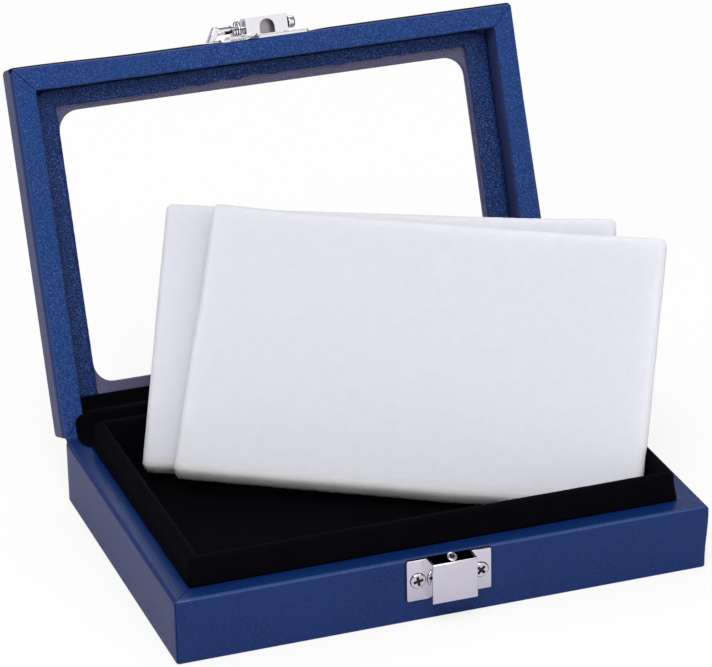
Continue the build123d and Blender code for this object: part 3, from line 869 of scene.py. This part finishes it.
pads = inMillimetres(
    width=152.6, height=93.2, thick=9.0, round=0.6, fuzz=0.3, soft=2.0, lowSoft=3.4, plan=1.8, perk=0.85,
    slow=0.12, under=0.08, rim=3, cutHigh=5, room=0.3)
pads.update(
    cells=(150, 92, 9), front=((-60.82, 26.94, 19.94), (26.12, 42.89, -3.16)),
    back=((-68.37, 40.32, 15.91), (26.03, 42.95, -0.6)))


def padPlace(corner, turns):
    yaw, lean, twist = (radians(turn) for turn in turns)
    along = Vector((cos(yaw), -sin(yaw), 0))
    up = Vector((sin(lean) * sin(yaw), sin(lean) * cos(yaw), cos(lean)))
    facing = along.cross(up)
    edge = along * cos(twist) + up * sin(twist)
    turn = Matrix((edge, facing.cross(edge), facing)).transposed().to_4x4()
    return Matrix.Translation(Vector(corner) * mm) @ turn


def buildPad(name, node, body, corner, turns, seed, grow):
    s = SimpleNamespace(**pads)
    size = Vector((s.width, s.height, s.thick))
    r, soft, plan, lowSoft = s.round, s.soft, s.plan, s.lowSoft
    bm = bmesh.new()
    addBox(bm, (0, 0, 0), size)
    for axis, cuts in enumerate(s.cells):
        bmesh.ops.subdivide_edges(bm, edges=edgesAlong(bm, axis), cuts=cuts - 1, use_grid_fill=True)
    bm.normal_update()
    for vert in bm.verts:
        p = vert.co.copy()
        # Round the edges by pulling points onto an inner box plus a radius
        core = Vector(min(max(p[i], r), size[i] - r) for i in range(3))
        off = p - core
        if off.length > 1e-9:
            p = core + off.normalized() * r
        roundOff(p, (1, 2), (lowSoft, size.z - lowSoft), (-1, 1))
        roundOff(p, (1, 2), (size.y - soft, size.z - soft), (1, 1))
        for way, edge in ((-1, soft), (1, size.x - soft)):
            roundOff(p, (0, 2), (edge, size.z - soft), (way, 1))
        for way, edge in ((-1, plan), (1, size.x - plan)):
            roundOff(p, (0, 1), (edge, plan), (way, -1))
            roundOff(p, (0, 1), (edge, size.y - plan), (way, 1))
        near = min(sorted((min(p[i], size[i] - p[i]) for i in range(3)))[1], s.rim) / s.rim
        # the soft sheet spreads at its sides and hangs at its lower edge
        across, upward = p.x / size.x, p.y / size.y
        p.x -= (grow["left"] + grow["lowLeft"] * max(0, 1 - upward / 0.62) ** 0.7) * max(0, 1 - across / 0.2)
        p.x += grow["right"] * max(0, (across - 0.8) / 0.2)
        p.y += s.perk * upward ** 2 * (softStep(0.26 - across, 0, 0.26) + softStep(across, 0.78, 1))
        hang = (1 - 0.75 * p.z / size.z) * max(0, 1 - upward / 0.2) * min(1, max(0, (0.9 - across) / 0.3))
        p.y -= grow["sag"] * hang
        slow = noise.noise((p.x * 22 + seed, p.y * 26, p.z * 40))
        fuzz = noise.noise((p.x * 1900, p.y * 1900, p.z * 1900 + seed))
        rough = fuzz * s.fuzz * (0.05 + (1 - near) ** 2)
        vert.co = p + vert.normal * (slow * s.slow - s.under + rough)
    bm.normal_update()
    paintedUndersideLight = bm.verts.layers.float.new("paintedUndersideLight")  # how much painted light brightens the pad's down-facing lower edge
    for vert in bm.verts:
        vert[paintedUndersideLight] = softStep(-vert.normal.y, 0.1, 0.85) * softStep(s.cutHigh - vert.co.y, 0, 2 * mm)
    bmesh.ops.transform(bm, matrix=padPlace(corner, turns), verts=bm.verts)
    # clear of the tray's walls
    trayLow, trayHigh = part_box("tray_floor_cushion")
    room = s.room
    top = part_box("tray_velvet")[1].z + room
    for vert in bm.verts:
        if vert.co.z < top:
            vert.co.x = min(max(vert.co.x, trayLow.x + room), trayHigh.x - room)
            vert.co.y = min(max(vert.co.y, trayLow.y + room), trayHigh.y - room)
    piece = finishPiece(name, bm, whiteFoam, body, sharp=0)
    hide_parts(node)


buildPad("front_pad_foam", "front_foam_pad", "front_pad", *pads["front"], 1.3,
         dict(left=0, lowLeft=1.3 * mm, right=0.9 * mm, sag=1.6 * mm))
buildPad("back_pad_foam", "back_foam_pad", "back_pad", *pads["back"], 7.9,
         dict(left=0.6 * mm, lowLeft=0, right=0, sag=0))
print("pads built")


# Lower clasp

lowerClasp = inMillimetres(
    x=0.6, dent=0.4, plate=(28.6, 14.1, 0.8), plateLow=7.65, box=15.0, boxLow=8.4, boxTop=22.2, depth=6.0,
    wall=0.8, boxLeft=0.3, frontWall=0.5, stud=1.65, studTop=22.8, studOut=2.7, cap=0.45, dimple=0.5,
    screwGap=21.3, head=2.5, headHigh=0.6, shank=1.1, shankLong=5.5)
lowerClasp.update(tilt=0.42)


# A domed cross-head screw along +Z with its seat at zero, its cross sunk with dark walls
def crossScrew(bm, place, radius, height, shank, length):
    def onTop(face):
        return face.normal.z > 0.99 and face.calc_center_median().z > height * 0.99

    head = bmesh.new()
    addRod(head, (0, 0, 0), (0, 0, height), radius, 48)
    bevelEdges(head, edgesAt(head, 2, height), height * 0.7, 4)
    arm, half = radius * 0.66, radius * 0.2
    for axis, value in ((0, -half), (0, half), (1, -half), (1, half), (0, -arm), (0, arm), (1, -arm), (1, arm)):
        way = [0, 0, 0]
        way[axis] = 1
        head.normal_update()
        tops = {f for f in head.faces if onTop(f)}
        tops |= {e for f in tops for e in f.edges} | {v for f in tops for v in f.verts}
        bmesh.ops.bisect_plane(head, geom=list(tops), dist=1e-7, plane_co=[w * value for w in way], plane_no=way)
    head.normal_update()
    cross = []
    for face in head.faces:
        x, y = (abs(value) for value in face.calc_center_median()[:2])
        if onTop(face) and min(x, y) < half and max(x, y) < arm:
            cross.append(face)
    sunk = bmesh.ops.extrude_face_region(head, geom=cross)["geom"]
    bmesh.ops.delete(head, geom=[f for f in cross if f.is_valid], context="FACES_ONLY")
    bmesh.ops.translate(head, vec=(0, 0, -height * 0.8), verts=onlyVerts(sunk))
    paint(head.faces, 1, lambda f, middle: 0.01 * mm < middle.z < height * 0.9
          and max(abs(middle.x), abs(middle.y)) < arm * 1.02)
    addRod(head, (0, 0, -length), (0, 0, 0), shank, 24)
    old = set(head.faces)
    addRod(head, (0, 0, 0), (0, 0, 0.07 * mm), radius + 0.2 * mm, 48)  # grime round the head
    paint(set(head.faces) - old, 1, lambda f, middle: True)
    absorb(bm, head, place)


def chromePiece(name, bm, body, place=None, more=(paintedShadeChrome,)):
    return finishPiece(name, bm, brightChrome, body, place, more=more)


def buildLowerClasp():
    s = SimpleNamespace(**lowerClasp)
    front = -halfDepth
    face = front - s.plate[2]
    wide, tall = s.plate[0], s.plate[1]
    bm = bmesh.new()
    addBox(bm, (s.x - wide / 2, face, s.plateLow), (s.x + wide / 2, front, s.plateLow + tall))
    bevelEdges(bm, edgesAlong(bm, 1), 0.5 * mm, 3)
    bevelEdges(bm, edgesAt(bm, 1, face), 0.18 * mm, 2)
    for side in (-1, 1):
        bmesh.ops.bisect_plane(bm, geom=bm.faces[:] + bm.edges[:] + bm.verts[:], dist=1e-7,
                               plane_co=(s.x + side * (s.box / 2 - s.wall), 0, 0), plane_no=(1, 0, 0))
    # in the box's shade
    paint(bm.faces, 1, lambda f, middle: abs(middle.x - s.x) < s.box / 2 - s.wall)
    plain = set(bm.faces)
    rim = bmesh.ops.create_cube(bm, size=1)["verts"]  # a painted contact shadow round the plate
    bmesh.ops.scale(bm, vec=(wide + 2 * s.dent, 0.2 * mm, tall + 2 * s.dent), verts=rim)
    bmesh.ops.translate(bm, vec=(s.x, front - 0.08 * mm, s.plateLow + tall / 2), verts=rim)
    bevelEdges(bm, [e for e in edgesAlong(bm, 1) if e.verts[0] in rim], 1.2 * mm, 4)
    paint(bm.faces, 1, lambda f, middle: f not in plain)
    piece = chromePiece("keeper_plate", bm, "base")
    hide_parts("lower_clasp_plate")

    bm = bmesh.new()
    left, right = s.x - s.box / 2 - s.boxLeft, s.x + s.box / 2
    back, far = face, face - s.depth
    addBox(bm, (left, far, s.boxLow), (right, back, s.boxTop))
    bevelEdges(bm, edgesAt(bm, 1, far), 0.35 * mm, 3)
    top = faceTowards(bm, (0, 0, 1))
    bmesh.ops.inset_individual(bm, faces=[top], thickness=s.wall, use_even_offset=True)
    for vert in top.verts:
        vert.co.y = back - 0.06 * mm if vert.co.y > (back + far) / 2 else far + s.frontWall
    pushFace(bm, top, (0, 0, s.boxLow + s.wall - s.boxTop))
    # painted shade inside the box and on its side walls' tops
    for f in bm.faces:
        middle = f.calc_center_median()
        within = abs(middle.x - s.x) < s.box / 2 - 0.9 * s.wall
        if within and far + 0.9 * s.wall < middle.y < back - 0.01 * mm:
            f.material_index = 1 if s.boxLow + 0.5 * s.wall < middle.z < s.boxTop - 0.01 * mm else 0
        if middle.z > s.boxTop - 0.01 * mm and middle.y > far + s.frontWall:
            f.material_index = 1
    piece = chromePiece("keeper_box", bm, "base")
    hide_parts("lower_clasp_box")

    bm = bmesh.new()
    y = face - s.studOut
    addRod(bm, (s.x, y, s.boxLow + s.wall), (s.x, y, s.studTop), s.stud, 40)
    bevelEdges(bm, edgesAt(bm, 2, s.studTop), 0.35 * mm, 3)
    cap = faceTowards(bm, (0, 0, 1))
    bmesh.ops.inset_individual(bm, faces=[cap], thickness=s.cap, depth=0, use_even_offset=True)
    dimple = pushFace(bm, cap, (0, 0, -s.dimple))
    bmesh.ops.scale(bm, vec=(0.5, 0.5, 1), verts=dimple.verts, space=Matrix.Translation(-dimple.calc_center_median()))
    # painted shade in the stud cap's dimple
    paint(bm.faces, 1, lambda f, middle: hypot(middle.x - s.x, middle.y - y) < s.stud * 0.58
          and middle.z > s.studTop - 0.7 * mm)
    for vert in bm.verts:
        if vert.co.z > s.studTop - 1 * mm:
            vert.co.z += (vert.co.y - y) * s.tilt
    piece = chromePiece("keeper_stud", bm, "base")
    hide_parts("lower_clasp_stud")

    bm = bmesh.new()
    for side in (-1, 1):
        place = (Matrix.Translation((s.x + side * s.screwGap / 2, face, s.plateLow + tall / 2))
                 @ Matrix.Rotation(pi / 2, 4, "X") @ Matrix.Rotation(0.5 + side * 0.3, 4, "Z"))
        crossScrew(bm, place, s.head, s.headHigh, s.shank, s.shankLong)
    piece = chromePiece("keeper_screws", bm, "base", more=(screwDirt,))
    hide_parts("lower_clasp_screws")


buildLowerClasp()
print("lower clasp built")


# Upper clasp, drawn on the shut lid

upperClasp = inMillimetres(
    x=0.6, wall=-125, plate=(-16.4, 15.6, 0.3, 10.3, 1.0), step=(-12.9, -7.2, 1.7), spout=(-7.4, -2.4, 0.9),
    pinOut=4.2, pinUp=5.0, lug=1.4, lugs=(-10.9, 8.3), lugWide=0.8, hood=(-6.9, 8.1), hoodLow=-0.2,
    hoodReach=7.2, hoodNear=1.3, hoodRound=2.5, arch=(5.4, 6.3, 3.2), barrel=(-16.5, -11.1, 1.55),
    knob=(9.3, 12.0, 2.1), tabLow=0.7, tabHigh=5.7, tabSlant=2.9, tabThick=2.3, tabUp=(-2.8, 0.9),
    tabShoulder=0.8, tabRoot=0.2, stepHigh=6.5)


def addPrism(bm, outline, low, high):
    made = bmesh.ops.create_circle(bm, cap_ends=True, segments=len(outline), radius=1 * mm)["verts"]
    for vert, (x, y) in zip(made, outline):
        vert.co = (x, y, low)
    face = next(f for f in made[0].link_faces if len(f.verts) == len(outline))
    top = bmesh.ops.extrude_face_region(bm, geom=[face])["geom"]
    bmesh.ops.translate(bm, vec=(0, 0, high - low), verts=onlyVerts(top))


# A rod along X with bevelled ends, painted dark as shade
def addTurned(bm, start, end, radius, y, z, bevel, segments, dark):
    addRod(bm, (start, y, z), (end, y, z), radius, 40)
    bevelEdges(bm, edgesAt(bm, 0, start) + edgesAt(bm, 0, end), bevel, segments)
    paint(bm.faces, 1, lambda f, middle: middle.x < start + dark or middle.x > end - dark)


def buildUpperClasp():
    s = SimpleNamespace(**upperClasp)
    wall = s.wall
    pinY, pinZ = wall - s.pinOut, halfGap + s.pinUp
    left, right, low, high, thick = s.plate
    bm = bmesh.new()
    addBox(bm, (left, wall - thick, halfGap + low), (right, wall, halfGap + high))
    bevelEdges(bm, edgesAlong(bm, 1), 1.0 * mm, 4)
    bevelEdges(bm, edgesAt(bm, 1, wall - thick), 0.2 * mm, 2)
    extras = bmesh.new()
    addBox(extras, (s.step[0], wall - s.step[2], halfGap + low), (s.step[1], wall, halfGap + s.stepHigh))
    bevelEdges(extras, [e for e in extras.edges if all(v.co.y < wall - 0.1 * mm for v in e.verts)], 0.3 * mm, 3)
    a, b, drop = s.spout
    outline = [(a, wall), (b - 0.5 * mm, wall), (b, wall - 0.6 * mm), (b - 0.3 * mm, wall - 1.3 * mm),
               (b - 1.2 * mm, wall - 1.6 * mm), (a, wall - 1.6 * mm)]
    addPrism(extras, outline, halfGap - drop, halfGap + 2.0 * mm)
    lip = [e for e in extras.edges if all(v.co.z < halfGap - drop + 1e-6 for v in e.verts)]
    bevelEdges(extras, lip, 0.35 * mm, 3)
    for start in s.lugs:
        addRod(extras, (start, pinY, pinZ), (start + s.lugWide, pinY, pinZ), s.lug, 32)
        addBox(extras, (start, pinY, pinZ - s.lug), (start + s.lugWide, wall - thick, pinZ + s.lug))
    absorb(bm, extras)
    bm.normal_update()
    # in the lever's and the spring's shade
    paint(bm.faces, 1, lambda f, middle: f.normal.y < -0.9 and middle.x < s.step[1])
    piece = chromePiece("latch_plate", bm, "lid", lidPlace)
    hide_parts("upper_clasp_plate")

    bm = bmesh.new()
    x0, x1 = s.hood
    near, far, base = wall - s.hoodNear, wall - s.hoodReach, halfGap + s.hoodLow
    crown = pinZ + s.hoodRound
    addBox(bm, (x0, far, base), (x1, near, crown))
    tops = [e for e in edgesAt(bm, 2, crown) if abs(e.verts[0].co.y - e.verts[1].co.y) < 1e-6]
    bevelEdges(bm, tops, s.hoodRound, 8)
    floor = faceTowards(bm, (0, 0, -1))
    bmesh.ops.inset_individual(bm, faces=[floor], thickness=1 * mm, use_even_offset=True)
    wide, reach, deep = s.arch
    middle = floor.calc_center_median()
    spring = wall - reach + wide / 2
    for vert in floor.verts:
        vert.co.x = s.x + copysign(wide / 2, vert.co.x - middle.x)
        vert.co.y = near - 0.06 * mm if vert.co.y > middle.y else spring
    farEdge = next(e for e in floor.edges if all(abs(v.co.y - spring) < 1e-7 for v in e.verts))
    bmesh.ops.bisect_edges(bm, edges=[farEdge], cuts=19)
    for vert in floor.verts:
        if abs(vert.co.y - spring) < 1e-7:
            turn = acos(min(max(2 * (s.x - vert.co.x) / wide, -1), 1))
            vert.co.y = spring - wide / 2 * sin(turn)
    # painted shade inside the arch: near-black right walls, dimmer end and left walls
    before = set(bm.faces)
    room = pushFace(bm, floor, (0, 0, deep))
    paint(set(bm.faces) - before, 1, lambda f, middle: True)
    room.material_index = 2
    bm.normal_update()
    paint(bm.faces, 2, lambda f, middle: f.material_index == 1 and middle.x < s.x + 0.12 * wide)
    outer = [e for e in edgesAt(bm, 2, base) if all(abs(v.co.x - x0) < 1e-6 or abs(v.co.x - x1) < 1e-6
                                                    or abs(v.co.y - far) < 1e-6 for v in e.verts)]
    ends = edgesAt(bm, 0, x0, 1e-6) + edgesAt(bm, 0, x1, 1e-6)
    bevelEdges(bm, list(set(outer + ends)), 0.25 * mm, 3)
    piece = chromePiece("latch_hood", bm, "clasp_hood_body", lidPlace, (paintedShadeChrome, paintedHalfShadeChrome))
    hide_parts("clasp_hood")

    bm = bmesh.new()
    start, end, radius = s.barrel
    addTurned(bm, start, end, radius, pinY, pinZ, 0.5 * mm, 3, 0.35 * mm)
    tab = bmesh.new()
    edge = start - s.tabShoulder
    root, outer, inner = start + s.tabRoot, wall - s.tabHigh, wall - s.tabLow
    outline = [(root, outer), (edge, outer), (edge - s.tabSlant, inner),
               (edge - s.tabSlant + s.tabThick, inner), (root, inner - s.tabThick)]
    addPrism(tab, outline, pinZ + s.tabUp[0], pinZ + s.tabUp[1])
    bevelEdges(tab, tab.edges[:], 0.22 * mm, 2)
    absorb(bm, tab)
    piece = chromePiece("thumb_lever", bm, "clasp_hood_body", lidPlace)
    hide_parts("clasp_thumb_lever")

    bm = bmesh.new()
    start, end, radius = s.knob
    addTurned(bm, start, end, radius, pinY, pinZ, 0.8 * mm, 5, 0.3 * mm)
    piece = chromePiece("pin_knob", bm, "clasp_hood_body", lidPlace)
    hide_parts("clasp_pin_knob")


buildUpperClasp()
print("upper clasp built")


# Finishes of the CAD pieces that stay

sides = ("front", "back", "left", "right")
finishes = {
    dullSteel: [f"{side}_hinge_{part}" for side in ("left", "right") for part in ("base_leaf", "pin", "lid_leaf")],
    springSteel: ["clasp_spring"],
    brightChrome: ["upper_clasp_screws", "clasp_pin"],
    railWood: [f"{half}_{side}_rail" for half in ("base", "lid") for side in sides],
    greyBoard: ["base_bottom_board", "lid_panel_board", *(f"tray_{side}_wall" for side in sides)],
    blackPaper: ["base_underside_sheet"],
    greyFoam: ["tray_foam_filler"],
    clearPane: ["window_pane"],
}
for finish, names in finishes.items():
    for name in names:
        node = frame["nodes"][name]
        for number in range(len(node.material_slots)):
            node.material_slots[number].material = finish
        if not node.material_slots:
            node.data.materials.append(finish)
print("finishes set")


# Stage and light

stage = dict(size=6.0, white=0.9, lift=0.8, glossyWhite=(0.59, 0.56, 0.65))


def makeStage():
    bm = bmesh.new()
    bmesh.ops.create_grid(bm, x_segments=1, y_segments=1, size=stage["size"])
    mesh = bpy.data.meshes.new("floor")
    bm.to_mesh(mesh)
    bm.free()
    floor = addObject("floor", mesh)
    material, tree, shader = startMaterial("floorWhite")
    path, seen = lightPath(tree)
    glossy = mathNode(tree, "SUBTRACT", path["Is Glossy Ray"], path["Is Transmission Ray"], clamp=True)
    tone = mixColor(tree, glossy, (stage["white"],) * 3, stage["glossyWhite"])
    feed(tree, shader, {"Base Color": tone, "Roughness": 0.9, "Specular IOR Level": 0.1})
    mixShaders(tree, mathNode(tree, "MULTIPLY", seen, stage["lift"]), shader, addNode(tree, "Emission"))
    mesh.materials.append(material)


# The studio's walls are dimmer in what the gloss reflects
room = dict(seen=(1.0, 1.0, 1.0), plain=(0.45, 0.45, 0.45), glossy=(0.31, 0.285, 0.33))


def makeWorld():
    world = bpy.data.worlds.new("studio")
    bpy.context.scene.world = world
    world.use_nodes = True
    tree = world.node_tree
    path, seen = lightPath(tree)
    dim = mixColor(tree, path["Is Glossy Ray"], room["plain"], room["glossy"])
    feed(tree, tree.nodes["Background"], {"Color": mixColor(tree, seen, dim, room["seen"])})


lamps = dict(
    key=dict(spot=(-0.5, -0.9, 1.5), size=1.1, power=22, aim=(0, 0, 0.05)),
    fill=dict(spot=(0.47, -1.38, 0.6), size=1.6, power=5.6, aim=(0, 0, 0.07)),
    back=dict(spot=(0.2, 1.3, 1.4), size=1.2, power=8, aim=(0, 0, 0.05)),
)


def makeLamps():
    for name, s in lamps.items():
        data = bpy.data.lights.new(name, "AREA")
        data.shape = "SQUARE"
        data.size = s["size"]
        data.energy = s["power"]
        lamp = addObject(name, data)
        way = Vector(s["aim"]) - Vector(s["spot"])
        lamp.matrix_world = Matrix.Translation(s["spot"]) @ way.to_track_quat("-Z", "Y").to_matrix().to_4x4()


makeStage()
makeWorld()
makeLamps()
bpy.context.scene.view_settings.view_transform = "Standard"
print("stage and light set")
